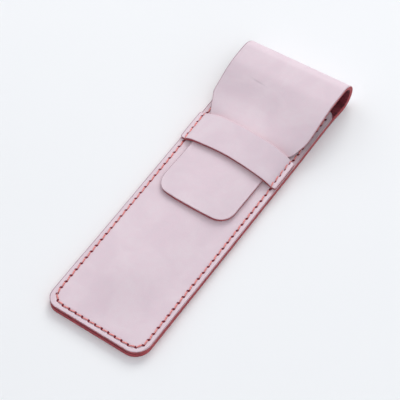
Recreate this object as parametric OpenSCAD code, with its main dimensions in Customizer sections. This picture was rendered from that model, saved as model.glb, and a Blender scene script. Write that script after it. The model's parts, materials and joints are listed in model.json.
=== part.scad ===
// Single pen sleeve: a pocket of two leather panels with a folded flap.
// The flap's tongue tucks under a keeper strap sewn across the pocket.
// X runs across the sleeve, Y from the closed end to the fold, Z up from the back.
// The back lies flat on the XY plane and the origin is the middle of its length.

/* [Leather] */
// Thickness of the leather
leather_t = 2.2; // [1.8:0.1:2.4]

/* [Pocket] */
// Width of the sleeve
body_w = 56; // [54:1:64]
// Length of the pocket from the closed end to its mouth
pocket_l = 163; // [160:1:166]
// Radius of the two corners at the closed end
corner_r = 8.5; // [7:0.5:12]
// Radius of the two corners of the front panel at the mouth
mouth_r = 4; // [2:0.5:6]
// Clear height inside the pocket along its middle
pocket_rise = 4.3; // [4.2:0.1:4.8]
// Distance from the sides to the risen middle of the front panel
rise_margin = 6.8; // [6.4:0.1:8]
// Distance from the closed end to where the rise has its full width
rise_start = 30; // [28:1:40]

/* [Fold] */
// Outer height of the fold
fold_h = 15.4; // [15.4:0.1:17.5]
// Distance from the mouth to where the back starts to curl
mouth_to_fold = 6; // [6:0.5:11]

/* [Flap] */
// Distance from the start of the fold back to the lower crease of the flap
flap_reach = 30; // [29:0.5:32]
// Depth of the middle crease below the top of the fold
crease_drop = 0.2; // [0.2:0.1:0.5]
// Angle that the rear of the flap can be bowed up
bow_max = 62; // [40:1:62]
// Radial clearance of a crease's round edge in its seat
crease_gap = 0.06; // [0.03:0.01:0.1]
// Angle left between two skived edges when the flap is bowed up
skive_gap = 3; // [2:1:6]

/* [Tongue] */
// Distance from the sides of the sleeve to the sides of the tongue
tongue_margin = 7.4; // [7.2:0.1:9]
// Length of the tongue from the lower crease to its tip
tongue_l = 61.4; // [50:0.2:62]
// Radius of the tongue's two corners
tongue_r = 9; // [6:0.5:12]
// How far the tip bows out between its corners
tip_bow = 2; // [0:0.1:3]
// Share of each shoulder's curve that is hollow
inner_share = 0.28; // [0.25:0.01:0.5]
// Clearance of the tongue above the pocket and below the strap
slide_gap = 0.25; // [0.2:0.05:0.4]

/* [Strap] */
// Distance from the lower crease down to the strap's upper edge
strap_drop = 11.5; // [11:0.1:11.7]
// Width of the strap
strap_w = 17; // [16.6:0.1:17.4]
// Width of each sewn end of the strap
strap_foot = 3.6; // [3.5:0.1:4]

/* [Seam] */
// Distance from the edge to the row of stitches
seam_margin = 2.6; // [2.3:0.1:2.8]
// Distance between two stitch holes
stitch_pitch = 4; // [3.9:0.1:4.1]
// Distance from the closed end to the lowest hole of each long row
first_hole_y = 13.8; // [13.6:0.1:14]
// Distance kept free between the last hole and the mouth
seam_end = 4; // [3:0.5:5]
// Diameter of the waxed thread
thread_d = 0.8; // [0.6:0.1:0.9]
// Length of one awl slit
slit_l = 1.6; // [1.4:0.1:1.8]
// How far each end of a stitch steps across the row
stitch_slant = 0.3; // [0.1:0.05:0.35]
// Clearance of the thread in its slits and in its groove
thread_fit = 0.1; // [0.05:0.05:0.2]

/* [Hidden] */

pink = [0.86, 0.80, 0.83];
pink_back = [0.82, 0.75, 0.79];
pink_strap = [0.88, 0.82, 0.85];
pink_flap = [0.84, 0.78, 0.82];
pink_tongue = [0.89, 0.83, 0.86];
coral = [0.86, 0.42, 0.42];

// Overlap of solids that are cut from or fused to each other
cut = 1;
// Facets of a full circle
round_fn = 64;
$fn = round_fn;

// Places along the sleeve, counted from the closed end
fold_start = pocket_l + mouth_to_fold;
low_crease_y = fold_start - flap_reach;
tongue_tip_y = low_crease_y - tongue_l;
strap_y = low_crease_y - strap_drop - strap_w;

// Widths of the tongue, the rise and the strap's free span
tongue_w = body_w - 2 * tongue_margin;
rise_w = body_w - 2 * rise_margin;
strap_span = body_w - 2 * strap_foot;

// The fold is a half circle of sheet around this centre, in Y and Z
fold_r = fold_h / 2;
fold_mid_r = fold_r - leather_t / 2;
fold_center = [fold_start, fold_r];

// Heights of the surfaces that lie on each other
panel_top = 2 * leather_t;
strap_top = 3 * leather_t;
tongue_floor = panel_top + slide_gap;

// The three creases of the flap, in Y and Z; the first and last share one height
crease_lift = 0.15;
crease_z = tongue_floor + pocket_rise + crease_lift + leather_t / 2;
fold_crease = [fold_start + sqrt(pow(fold_mid_r, 2) - pow(crease_z - fold_r, 2)), crease_z];
low_crease = [low_crease_y, crease_z];
top_crease = [(fold_crease.x + low_crease.x) / 2, fold_h - leather_t / 2 - crease_drop];

function direction(a, b) = atan2(b.y - a.y, b.x - a.x);
fold_crease_angle = direction(fold_center, fold_crease);
front_slope = direction(low_crease, top_crease);
// The rear of the flap leaves the fold along a tangent to the middle crease
top_reach = norm(top_crease - fold_center);
tangent_angle = direction(fold_center, top_crease) - acos(fold_mid_r / top_reach);
tangent_point = fold_center + fold_mid_r * [cos(tangent_angle), sin(tangent_angle)];
rear_slope = direction(top_crease, tangent_point);

// Angle kept by each side of a crease on the side that closes
function skive(rest_angle, turn) = (rest_angle - turn - skive_gap) / 2;
fold_skive = skive(180, bow_max);
top_skive = skive(180 + rear_slope - front_slope, 2 * bow_max);
low_skive = skive(180 - front_slope, bow_max);

// Length of the flat end that carries the tongue's crease
neck_l = leather_t / 2 + thread_fit;

// The seam runs from one end of the mouth around the closed end to the other
row_x = body_w / 2 - seam_margin;
seam_r = corner_r - seam_margin;
lower_half = row_x - seam_r;
corner_len = PI / 2 * seam_r;
lower_len = lower_half + corner_len + first_hole_y - corner_r;
lower_count = round(lower_len / stitch_pitch);
lower_pitch = lower_len / lower_count;
side_count = floor((pocket_l - seam_end - first_hole_y) / stitch_pitch);
hole_count = lower_count + side_count;
slit_w = thread_d + thread_fit;
slit_angle = -45;
thread_sides = 8;
thread_flat = thread_d / 2 * cos(180 / thread_sides);
groove_w = thread_d + 2 * stitch_slant + 2 * thread_fit;
groove_depth = 2 * thread_flat + thread_fit;
back_thread_z = groove_depth - thread_flat;

// Height of the risen leather above its flat rim, at a distance x from the middle
rise_fullness = 2.8;
strap_fullness = 3.5;
function arch(x, height, half_w, fullness) =
    abs(x) >= half_w ? 0 : height * (1 - pow(abs(x) / half_w, fullness));
function pocket_arch(x) = arch(x, pocket_rise, rise_w / 2, rise_fullness);
strap_rise = pocket_rise + leather_t + 2 * slide_gap;
function strap_arch(x) = arch(x, strap_rise, strap_span / 2, strap_fullness);

// Places across the width at which an arched sheet is sampled
arch_steps = 24;
function spread(half_w, steps) = [for (i = [0:steps]) half_w * (2 * i / steps - 1)];

// Puts a part drawn from the closed end at the sleeve's own origin
module place() {
    translate([0, -(fold_start + fold_r) / 2, 0])
        children();
}

// Extrudes a side view, drawn in Y and Z, across the sleeve
module across(width) {
    rotate([90, 0, 90])
        linear_extrude(width, center = true)
            children();
}

// Extrudes a cross-section, drawn in X and Z, along the sleeve
module along(from, to) {
    translate([0, to, 0])
        rotate([90, 0, 0])
            linear_extrude(to - from)
                children();
}

// Side view of a straight stretch of sheet between two points
module sheet(a, b) {
    translate(a)
        rotate(direction(a, b))
            translate([0, -leather_t / 2])
                square([norm(b - a), leather_t]);
}

// Points of an arc around the fold's centre
arc_steps = 20;
function arc(radius, from_angle, to_angle) =
    [for (i = [0:arc_steps])
        let (a = from_angle + (to_angle - from_angle) * i / arc_steps)
        fold_center + radius * [cos(a), sin(a)]];
function backwards(points) = [for (i = [len(points) - 1:-1:0]) points[i]];

// Side view of a sheet curled around the fold's centre, with more points at each end
module curl(from_angle, to_angle, outer_end = [], inner_end = []) {
    inner_r = fold_mid_r - leather_t / 2;
    polygon(concat(
        arc(fold_r, from_angle, to_angle),
        outer_end,
        inner_end,
        backwards(arc(inner_r, from_angle, to_angle))
    ));
}

// Round rod across the sleeve on a crease
module crease_rod(at, radius, width) {
    translate([0, at.x, at.y])
        rotate([0, 90, 0])
            cylinder(r = radius, h = width, center = true);
}

// Wedge with its edge on a crease, which skives the side that closes
skive_reach = 6;
module skive_wedge(at, from_angle, to_angle) {
    middle = (from_angle + to_angle) / 2;
    across(body_w + 2 * cut)
        polygon([
            at,
            at + skive_reach * [cos(from_angle), sin(from_angle)],
            at + 2 * skive_reach * [cos(middle), sin(middle)],
            at + skive_reach * [cos(to_angle), sin(to_angle)]
        ]);
}

// Outline of a panel in plan, rounded at the closed end and at the far end
module panel_outline(length, far_r) {
    half = body_w / 2;
    translate([-half, corner_r])
        square([body_w, length - corner_r - far_r]);
    translate([-half + corner_r, 0])
        square([body_w - 2 * corner_r, corner_r + cut]);
    translate([-half + far_r, length - far_r - cut])
        square([body_w - 2 * far_r, far_r + cut]);
    for (side = [-1, 1]) {
        translate([side * (half - corner_r), corner_r])
            circle(r = corner_r);
        if (far_r > 0)
            translate([side * (half - far_r), length - far_r])
                circle(r = far_r);
    }
}

// Centre of a stitch hole, counted from the middle of the closed end
function lower_hole(s) =
    s <= lower_half ? [s, seam_margin]
    : s <= lower_half + corner_len
        ? let (a = (s - lower_half) / seam_r * 180 / PI)
          [lower_half + seam_r * sin(a), corner_r - seam_r * cos(a)]
        : [row_x, corner_r + s - lower_half - corner_len];
function hole(i) =
    let (n = abs(i),
         p = n <= lower_count ? lower_hole(n * lower_pitch)
             : [row_x, first_hole_y + (n - lower_count) * stitch_pitch])
    [i < 0 ? -p.x : p.x, p.y];
function seam_angle(i) =
    let (a = hole(i - 1), b = hole(i + 1)) direction(a, b);
function hole_normal(i) =
    [-sin(seam_angle(i)), cos(seam_angle(i))];

// The holes that the strap covers
function in_strap(i) = hole(i).y > strap_y && hole(i).y < strap_y + strap_w && abs(i) > lower_count;

// Awl slits for the holes from one number to another
module slits(from, to, strap_only = false) {
    for (i = [from:to])
        if (!strap_only || in_strap(i))
            translate(hole(i))
                rotate(seam_angle(i) + slit_angle)
                    square([slit_l, slit_w], center = true);
}

// Band that follows the seam, a half width to each side of the row
module seam_band() {
    half = groove_w / 2;
    difference() {
        seam_area(half);
        seam_area(-half);
    }
}

// Area inside the seam, grown by a distance
module seam_area(grow) {
    half = row_x + grow;
    radius = seam_r + grow;
    low = seam_margin - grow;
    high = hole(hole_count).y + groove_w / 2 + (grow < 0 ? cut : 0);
    translate([-half, low + radius])
        square([2 * half, high - low - radius]);
    translate([-half + radius, low])
        square([2 * (half - radius), radius + cut]);
    for (side = [-1, 1])
        translate([side * (half - radius), low + radius])
            circle(r = radius);
}

// Space below an arched surface, over a flat floor
module arched_space(floor_z, base_z) {
    half = rise_w / 2;
    xs = spread(half, arch_steps);
    over = [for (x = xs) [x, base_z + pocket_arch(x)]];
    along(rise_start, pocket_l + (floor_z < leather_t ? cut : 0))
        polygon(concat([[-half, floor_z]], over, [[half, floor_z]]));
    translate([0, rise_start, 0])
        rotate([0, 0, 180])
            rotate_extrude(angle = 180)
                polygon(concat(
                    [[0, floor_z]],
                    [for (p = over) if (p.x >= 0) p],
                    [[half, floor_z]]
                ));
}

// Long back of the sleeve with the lower half of the fold
module back_panel() {
    color(pink_back)
        difference() {
            union() {
                linear_extrude(leather_t)
                    difference() {
                        panel_outline(fold_start, 0);
                        slits(-hole_count, hole_count);
                    }
                across(body_w)
                    curl(-90, fold_crease_angle);
            }
            translate([0, 0, -cut])
                linear_extrude(groove_depth + cut)
                    seam_band();
            crease_rod(fold_crease, leather_t / 2 + crease_gap, body_w + 2 * cut);
            skive_wedge(fold_crease, fold_crease_angle - 90 + fold_skive, fold_crease_angle);
        }
}

// Front of the pocket, raised along its middle so that a pen slides in
module front_panel() {
    color(pink)
        difference() {
            union() {
                translate([0, 0, leather_t])
                    linear_extrude(leather_t)
                        difference() {
                            panel_outline(pocket_l, mouth_r);
                            slits(-hole_count, hole_count);
                        }
                arched_space(leather_t, panel_top);
            }
            arched_space(leather_t - cut, leather_t);
        }
}

// Strap across the pocket, arched over the tongue and sewn at both ends
module keeper_strap() {
    half = body_w / 2;
    inner = spread(strap_span / 2, arch_steps);
    under = concat([-half], inner, [half]);
    color(pink_strap)
        difference() {
            along(strap_y, strap_y + strap_w)
                polygon(concat(
                    [for (x = under) [x, panel_top + strap_arch(x)]],
                    [for (i = [len(under) - 1:-1:0]) [under[i], strap_top + strap_arch(under[i])]]
                ));
            translate([0, 0, panel_top - cut])
                linear_extrude(leather_t + 2 * cut)
                    slits(-hole_count, hole_count, true);
        }
}

// One straight length of thread between two points
module thread_run(a, b) {
    d = b - a;
    translate(a)
        rotate([0, acos(d.z / norm(d)), atan2(d.y, d.x)])
            rotate(180 / thread_sides)
                cylinder(d = thread_d, h = norm(d), $fn = thread_sides);
}

// Height of the thread on the face that shows
function stitch_z(i) =
    thread_flat + (in_strap(i) || in_strap(i + 1) ? strap_top : panel_top);

// Ends of the stitch that starts at a hole, stepped across the row
function stitch_ends(i) =
    [hole(i) - stitch_slant * hole_normal(i), hole(i + 1) + stitch_slant * hole_normal(i + 1)];

// The stitch leaving the strap's upper edge slopes down to the pocket
function slopes_down(i) = in_strap(i) != in_strap(i + 1)
    && max(hole(i).y, hole(i + 1).y) > strap_y + strap_w;
module front_stitch(i) {
    ends = stitch_ends(i);
    top = stitch_z(i);
    if (slopes_down(i)) {
        upper = hole(i).y > hole(i + 1).y ? ends[1] : ends[0];
        lower = hole(i).y > hole(i + 1).y ? ends[0] : ends[1];
        share = (strap_y + strap_w + thread_d / 2 - upper.y) / (lower.y - upper.y);
        edge = upper + share * (lower - upper);
        thread_run([upper.x, upper.y, top], [edge.x, edge.y, top]);
        thread_run([edge.x, edge.y, top], [lower.x, lower.y, panel_top + thread_flat]);
    } else {
        thread_run([ends[0].x, ends[0].y, top], [ends[1].x, ends[1].y, top]);
    }
}

// Height at which one end of a stitch meets the thread in its hole
function end_z(i, stitch) =
    slopes_down(stitch) && !in_strap(i) ? panel_top + thread_flat : stitch_z(stitch);
function pass_top(i) =
    i == -hole_count ? end_z(i, i)
    : i == hole_count ? end_z(i, i - 1)
    : max(end_z(i, i), end_z(i, i - 1));

// The waxed thread: a stitch on each face between holes, joined through every hole
module seam_thread() {
    color(coral) {
        for (i = [-hole_count:hole_count - 1]) {
            ends = stitch_ends(i);
            front_stitch(i);
            thread_run([ends[0].x, ends[0].y, back_thread_z], [ends[1].x, ends[1].y, back_thread_z]);
        }
        for (i = [-hole_count:hole_count])
            thread_run([hole(i).x, hole(i).y, back_thread_z], [hole(i).x, hole(i).y, pass_top(i)]);
    }
}

// Upper half of the fold and the rear of the flap up to the middle crease
module flap_rear() {
    up = leather_t / 2 * [cos(tangent_angle), sin(tangent_angle)];
    color(pink_flap) {
        difference() {
            across(body_w)
                curl(fold_crease_angle, tangent_angle, [top_crease + up], [top_crease - up]);
            skive_wedge(fold_crease, fold_crease_angle, fold_crease_angle + 90 - fold_skive);
            crease_rod(top_crease, leather_t / 2 + crease_gap, body_w + 2 * cut);
            skive_wedge(top_crease, rear_slope - 90, rear_slope - top_skive);
        }
        crease_rod(fold_crease, leather_t / 2, body_w);
    }
}

// Front slope of the flap between the middle crease and the lower crease
module flap_front() {
    down = front_slope + 180;
    color(pink_flap) {
        difference() {
            across(body_w)
                sheet(low_crease, top_crease);
            skive_wedge(top_crease, down + top_skive, down + 90);
            crease_rod(low_crease, leather_t / 2 + crease_gap, body_w + 2 * cut);
            skive_wedge(low_crease, front_slope + low_skive, front_slope + 90);
        }
        crease_rod(top_crease, leather_t / 2, body_w);
    }
}

// Half width of the flap in plan, from the tongue out to the full sleeve
strap_clear = 0.5;
arch_end = strap_y + strap_w + strap_clear;
level_start = low_crease_y - neck_l;
shoulder_l = level_start - arch_end;
shoulder_step = (body_w - tongue_w) / 2;
shoulder_r = (pow(shoulder_step, 2) + pow(shoulder_l, 2)) / (2 * shoulder_step);
inner_r = shoulder_r * inner_share;
outer_r = shoulder_r - inner_r;
function flap_half_w(y) =
    let (u = y - arch_end)
    u < shoulder_l * inner_share
        ? tongue_w / 2 + inner_r - sqrt(pow(inner_r, 2) - pow(u, 2))
        : body_w / 2 - outer_r + sqrt(pow(outer_r, 2) - pow(shoulder_l - u, 2));

// Rows of the tongue from its tip to its crease: half width, place along the
// sleeve at the edges, and how far the row bows out in its middle
tip_steps = 5;
shoulder_steps = 7;
tongue_rows = concat(
    [for (i = [0:tip_steps])
        let (a = 90 * i / tip_steps)
        [tongue_w / 2 - tongue_r * (1 - sin(a)),
         tongue_tip_y + tip_bow + tongue_r * (1 - cos(a)),
         tip_bow * (1 - i / tip_steps)]],
    [for (i = [0:shoulder_steps])
        let (y = arch_end + shoulder_l * i / shoulder_steps)
        [flap_half_w(y), y, 0]],
    [[body_w / 2, low_crease_y, 0]]
);

// Underside of the tongue, arched under the strap and level at its crease
function smooth(s) = s * s * (3 - 2 * s);
function tongue_z(x, y) =
    let (k = smooth(min(max((y - arch_end) / shoulder_l, 0), 1)))
    (1 - k) * (tongue_floor + pocket_arch(x)) + k * (crease_z - leather_t / 2);

// Sheet of the tongue, with its rows joined into one closed skin
module tongue_sheet() {
    steps = 24;
    low = [for (row = tongue_rows)
               for (c = spread(1, steps))
                   let (y = row.y - row.z * (1 - c * c))
                   [row.x * c, y, tongue_z(row.x * c, y)]];
    high = [for (p = low) p + [0, 0, leather_t]];
    rows = len(tongue_rows) - 1;
    top = len(low);
    function at(r, c) = r * (steps + 1) + c;
    cells = [for (r = [0:rows - 1]) for (c = [0:steps - 1]) [r, c]];
    polyhedron(
        points = concat(low, high),
        faces = concat(
            [for (k = cells) [at(k[0], k[1]), at(k[0], k[1] + 1), at(k[0] + 1, k[1] + 1)]],
            [for (k = cells) [at(k[0], k[1]), at(k[0] + 1, k[1] + 1), at(k[0] + 1, k[1])]],
            [for (k = cells)
                [top + at(k[0], k[1]), top + at(k[0] + 1, k[1] + 1), top + at(k[0], k[1] + 1)]],
            [for (k = cells)
                [top + at(k[0], k[1]), top + at(k[0] + 1, k[1]), top + at(k[0] + 1, k[1] + 1)]],
            [for (c = [0:steps - 1]) [at(0, c), top + at(0, c), top + at(0, c + 1), at(0, c + 1)]],
            [for (c = [0:steps - 1])
                [at(rows, c), at(rows, c + 1), top + at(rows, c + 1), top + at(rows, c)]],
            [for (r = [0:rows - 1]) [at(r, 0), at(r + 1, 0), top + at(r + 1, 0), top + at(r, 0)]],
            [for (r = [0:rows - 1])
                [at(r, steps), top + at(r, steps), top + at(r + 1, steps), at(r + 1, steps)]]
        )
    );
}

// Tongue that slides under the strap, with the shoulders it widens into
module tongue() {
    color(pink_tongue) {
        difference() {
            tongue_sheet();
            skive_wedge(low_crease, 90, 180 - low_skive);
        }
        crease_rod(low_crease, leather_t / 2, body_w);
    }
}

place() back_panel();
place() front_panel();
place() keeper_strap();
place() seam_thread();
place() flap_rear();
place() flap_front();
place() tongue();
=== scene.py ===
import json
import math

import bpy
from bpy.props import FloatProperty, FloatVectorProperty, PointerProperty
from mathutils import Matrix, Vector, noise


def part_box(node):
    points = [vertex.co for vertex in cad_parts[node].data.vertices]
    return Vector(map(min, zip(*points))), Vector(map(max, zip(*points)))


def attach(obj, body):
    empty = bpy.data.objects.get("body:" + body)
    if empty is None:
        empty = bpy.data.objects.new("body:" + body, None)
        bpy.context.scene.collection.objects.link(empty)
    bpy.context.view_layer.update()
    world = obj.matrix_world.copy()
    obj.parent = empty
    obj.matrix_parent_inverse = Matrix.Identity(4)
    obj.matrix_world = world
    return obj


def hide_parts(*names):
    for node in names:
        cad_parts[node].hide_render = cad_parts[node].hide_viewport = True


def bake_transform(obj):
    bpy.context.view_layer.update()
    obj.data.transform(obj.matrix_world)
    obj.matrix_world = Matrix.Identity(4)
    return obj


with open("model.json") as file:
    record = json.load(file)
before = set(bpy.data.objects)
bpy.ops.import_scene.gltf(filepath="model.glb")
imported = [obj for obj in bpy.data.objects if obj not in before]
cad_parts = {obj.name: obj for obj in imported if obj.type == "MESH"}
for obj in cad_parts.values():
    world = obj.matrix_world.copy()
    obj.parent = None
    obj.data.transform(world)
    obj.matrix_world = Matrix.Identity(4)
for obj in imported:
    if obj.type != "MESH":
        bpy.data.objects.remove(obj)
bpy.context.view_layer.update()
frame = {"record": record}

bl_info = {
    "name": "Single Pen Sleeve",
    "version": (1, 0, 0),
    "blender": (4, 5, 0),
    "location": "View3D > Sidebar > Sleeve",
    "description": "Builds a stitched leather pen sleeve with a folded flap under a keeper strap",
    "category": "Object",
}

MM = 0.001
BACK_LOW, BACK_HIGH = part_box("back_panel")
FRONT_LOW, FRONT_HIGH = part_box("front_panel")
STRAP_LOW, STRAP_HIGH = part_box("keeper_strap")
REAR_LOW, REAR_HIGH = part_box("flap_rear")
TONGUE_LOW, TONGUE_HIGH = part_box("tongue")
CREASES = {j["name"]: Vector(j["pos_m"]) for j in frame["record"]["behaviour"]["joints"]}

# Sizes that the frame gives
LEATHER = FRONT_LOW[2]
CLOSED_END = BACK_LOW[1]
MOUTH = FRONT_HIGH[1]
HALF = BACK_HIGH[0]
PANEL_TOP = 2 * LEATHER
FOLD_R = REAR_HIGH[2] / 2
FOLD_MID_R = FOLD_R - LEATHER / 2
FOLD_START = BACK_HIGH[1] - FOLD_R

# Outline, from the photograph: radii of the corners, left and right, and the tongue's end
CORNER = 8.5 * MM
LOW_CORNERS = (6.6 * MM, CORNER)
MOUTH_CORNERS = (4 * MM, 4 * MM)
SQUARE_CORNERS = (0.9 * MM, 0.9 * MM)
FOLD_CORNERS = (0.5 * MM, 0.5 * MM)
TONGUE_HALF = 20.5 * MM
TONGUE_CORNER = 9 * MM
TIP_TURN = math.radians(13)
BACK_PROUD = 0.35 * MM
BACK_SHY = 0.22 * MM
FOLD_FLARE = 0.7 * MM
BACK_SKEW_SHARE = 0.6
FOLD_SETTLED = 2 / 3
REAR_SHARE = 0.65
TONGUE_DRAWN = 0.75 * MM
TONGUE_WIDENED = 0.014
EDGE_LEAN = 0.10
EDGE_BULGE = 1.08
EDGE_ROUGH = 0.06 * MM
EDGE_ROUGH_SIZE = 1.1 * MM
EDGE_ROUGH_STEP = 0.7
EDGE_TURNS = (math.radians(30), math.radians(60), math.radians(85))
EDGE_FLATS = (0.5, 0.0, -0.5)
EDGE_GRAIN_STEPS = 2
RIM_WIDTH = 0.7 * MM

# Heights and thicknesses
LAYER_GAP = 0.06 * MM
STRAP_GAP = 0.018 * MM
LIFT = 0.8 * MM
RISE_HALF = 22 * MM
STRAP_HOLD = 0.20
PINCH = 0.36 * MM
STRAP_PARED = 0.75 * MM
TONGUE_PARED = 0.5 * MM
SIDE_SHARE_POWER = 2.2

# Stretches in mm from the closed end, each as its start and its length
LIFT_RISES = (124, 36)
LIFT_FALLS = (161, 9)
PINCH_RISES = (10, 50)
PINCH_FALLS = (156, 10)
CROWN_RISES = (4, 36)
STRAP_HOLDS = (84, 22)
FLAP_FREED = (108, 12)
BACK_SKEWS = (158, 14)
BACK_WIDENS = (158, 10)
FLAP_SKEWS = (142, 24)
PARED_ENDS = (124, 8)
TONGUE_DRAWS = (78, 34)
PRESS_ENDS = 160

# Distances from the middle at which a thinning starts, and how far it takes
PINCH_ACROSS = (20.5 * MM, 7 * MM)
STRAP_PARED_ACROSS = (22 * MM, 5.5 * MM)
TONGUE_PARED_ACROSS = (14 * MM, 6 * MM)

# Half widths of the flap, left and right, at places in mm from the closed end
FLAP_LEFT = ((119, 20.5), (124, 20.6), (127.5, 21.5), (130, 23.0), (133.9, 24.9), (136.9, 26.5),
             (140, 27.9), (146, 28.4), (156, 28.7), (166, 28.7))
FLAP_RIGHT = ((119, 20.5), (124, 20.9), (127.5, 22.4), (130, 24.5), (133.9, 26.2), (136.9, 27.2),
              (140, 27.8), (146, 28.0), (150, 28.0))
# Height in mm of the flap's middle layer along its centre and along its sides
CENTRE_HEIGHT = ((108, 8.25), (111, 8.35), (119, 9.2), (124, 9.75), (128, 10.15), (134, 10.3),
                 (140, 10.7), (146.3, 11.8), (153, 13.2), (160, 14.2), (169, 14.3))
SIDE_HEIGHT = ((108, 1.6), (111, 1.7), (119, 2.7), (124, 3.3), (128, 4.0), (131, 5.7), (134, 7.1),
               (140, 9.0), (146.3, 11.0), (153, 12.9), (160, 14.15), (169, 14.3))
# Height in mm of the strap's underside at its two edges, at distances in mm from its middle
STRAP_LOW_EDGE = ((0, 9.5), (7, 9.0), (10.5, 8.45), (14, 7.8), (17.5, 7.0), (20.5, 6.2),
                  (22.5, 5.3), (24.3, 4.35), (25.6, 3.9))
STRAP_HIGH_LEFT = ((0, 11.35), (6, 11.0), (13, 10.1), (17, 8.8), (21, 6.8), (23, 5.6), (25, 4.4))
STRAP_HIGH_RIGHT = ((0, 11.35), (6, 11.15), (12, 10.6), (16, 9.8), (19.4, 8.6), (22, 7.1),
                    (24, 5.8), (25.6, 4.4))

# The seam: its row, its holes and what the pulled thread does to the leather
SEAM_MARGIN = 2.6 * MM
ROW_X = HALF - SEAM_MARGIN
ROW_CORNER = CORNER - SEAM_MARGIN
PITCH = 4 * MM
STRAIGHT_FROM = 13.8 * MM
SIDE_HOLES = 36
PRESS = 0.30 * MM
PRESS_REACH = 0.62 * MM
# Share of the rim's painted highlight and rosier tone that the seam's pressed groove takes
PRESS_HIGHLIGHT_AND_TINT = 0.55
# Awl slits: thin dark sheets of painted shade over each hole
SLIT_TURN = math.radians(-42)
SLIT_HALVES = (0.95 * MM, 0.62 * MM)
SLIT_SIDES = 14
SLIT_RINGS = ((1.0, 0.03 * MM), (0.45, 0.05 * MM))
STITCH_GAP = 0.12
BOW_POWER = 3.2
BOW_SUNK = 0.7
FRONT_BOW = 0.42 * MM
BACK_BOW = -0.20 * MM
LOCK_BOW = 0.50 * MM
LOCK_SHIFT = 0.30 * MM
LOCK_NUMBER = 200
FRONT_PROUD = 0.85
BACK_PROUD_SHARE = 0.10
BACK_FLAT = 0.7
THREAD_SIDES = 8
TAPER = (0.55, 0.85, 1.0)
WINDING = 1.5

# Crease mark on the flap: place across and from the closed end, half lengths and slope, in mm
MARK_PLACE = (-10.6, 153.4)
MARK_SIZE = (3.4, 0.55)
MARK_TURN = 0.25

# Spacing of the rows of points along each piece of leather
PANEL_STEP = 1.6 * MM
FLAP_STEP = 1.3 * MM
STRAP_STEP = 0.9 * MM
SEAM_STEP = 0.3 * MM
SEAM_STEPS = 5
CORNER_ROWS = 9
FOLD_ROWS = 30
TIP_ROWS = 10

# Lamps over the middle of the sleeve: name, place, side and power
LAMPS = (
    ("key", (-0.46, 1.70, 1.31), 1.15, 25.0),
    ("side", (-1.10, 0.50, 0.80), 1.0, 3.9),
    ("rim", (1.25, 0.70, 1.20), 1.6, 3.2),
    ("top", (0.15, 0.15, 1.55), 1.6, 4.9),
    ("fill", (0.50, -0.45, 1.25), 0.9, 3.7),
)
LAMP_COLOUR = (1.0, 0.990, 0.967)
SKY_COLOUR = (0.85, 0.905, 1.0, 1.0)
SKY_STRENGTH = 0.345
BACKDROP_COLOUR = (0.90, 0.91, 0.94, 1.0)
FLOOR_REACH = 3.0

# Camera: lens and film width in mm, and its place and directions in the frame
LENS = 204.0
FILM_WIDTH = 36.0
CAMERA_PLACE = (0.36945, CLOSED_END - 0.36791, 0.92351)
CAMERA_RIGHT = (0.81663, 0.57555, -0.04315)
CAMERA_UP = (-0.46770, 0.70370, 0.53486)


class SleeveSizes(bpy.types.PropertyGroup):
    """Sizes of the sleeve that a user would change."""

    edge_round: FloatProperty(
        name="Edge rounding", description="Radius worn onto each cut edge",
        default=0.2 * MM, unit="LENGTH", subtype="DISTANCE")
    crown: FloatProperty(
        name="Crown", description="Height that the front panel rises along its middle",
        default=3.5 * MM, unit="LENGTH", subtype="DISTANCE")
    fold_skew: FloatProperty(
        name="Fold skew", description="How far the right end of the fold lies beyond its middle",
        default=1.9 * MM, unit="LENGTH", subtype="DISTANCE")
    thread: FloatProperty(
        name="Thread", description="Diameter of the waxed thread",
        default=0.68 * MM, unit="LENGTH", subtype="DISTANCE")
    stitch_slant: FloatProperty(
        name="Stitch slant", description="How far each end of a stitch steps across the row",
        default=0.36 * MM, unit="LENGTH", subtype="DISTANCE")


class SleeveColours(bpy.types.PropertyGroup):
    """Colours of the sleeve and its stage."""

    grain: FloatVectorProperty(
        name="Grain", description="Pale pink grain side of the leather",
        default=(0.727, 0.605, 0.663), size=3, subtype="COLOR")
    flesh: FloatVectorProperty(
        name="Flesh", description="Dark red suede inside of the leather",
        default=(0.210, 0.026, 0.042), size=3, subtype="COLOR")
    cut_edge: FloatVectorProperty(
        name="Cut edge", description="Raw fibres of a cut edge",
        default=(0.520, 0.072, 0.088), size=3, subtype="COLOR")
    thread: FloatVectorProperty(
        name="Thread", description="Waxed coral thread",
        default=(0.930, 0.270, 0.255), size=3, subtype="COLOR")
    floor: FloatVectorProperty(
        name="Floor", description="Pale table under the sleeve",
        default=(0.880, 0.889, 0.907), size=3, subtype="COLOR")


def sizes():
    """Sizes of the current scene."""
    return bpy.context.scene.sleeve_sizes


def colours():
    """Colours of the current scene."""
    return bpy.context.scene.sleeve_colours


class Value:
    """A number in a shader, used in Python expressions."""

    def __init__(self, shader, socket):
        self.shader = shader
        self.socket = socket

    def math(self, operation, *others):
        """Math node on this value and up to two others."""
        return self.shader.node(
            "ShaderNodeMath", {"operation": operation}, dict(enumerate((self, *others))))

    def __add__(self, other):
        return self.math("ADD", other)

    def __sub__(self, other):
        return self.math("SUBTRACT", other)

    def __rsub__(self, other):
        return self.shader.node("ShaderNodeMath", {"operation": "SUBTRACT"}, {0: other, 1: self})

    def __mul__(self, other):
        return self.math("MULTIPLY", other)

    __radd__ = __add__
    __rmul__ = __mul__

    def ramp(self, low, high):
        """Smooth step from 0 at low to 1 at high."""
        return self.shader.node(
            "ShaderNodeMapRange", {"interpolation_type": "SMOOTHSTEP"},
            {"Value": self, "From Min": low, "From Max": high})


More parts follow.
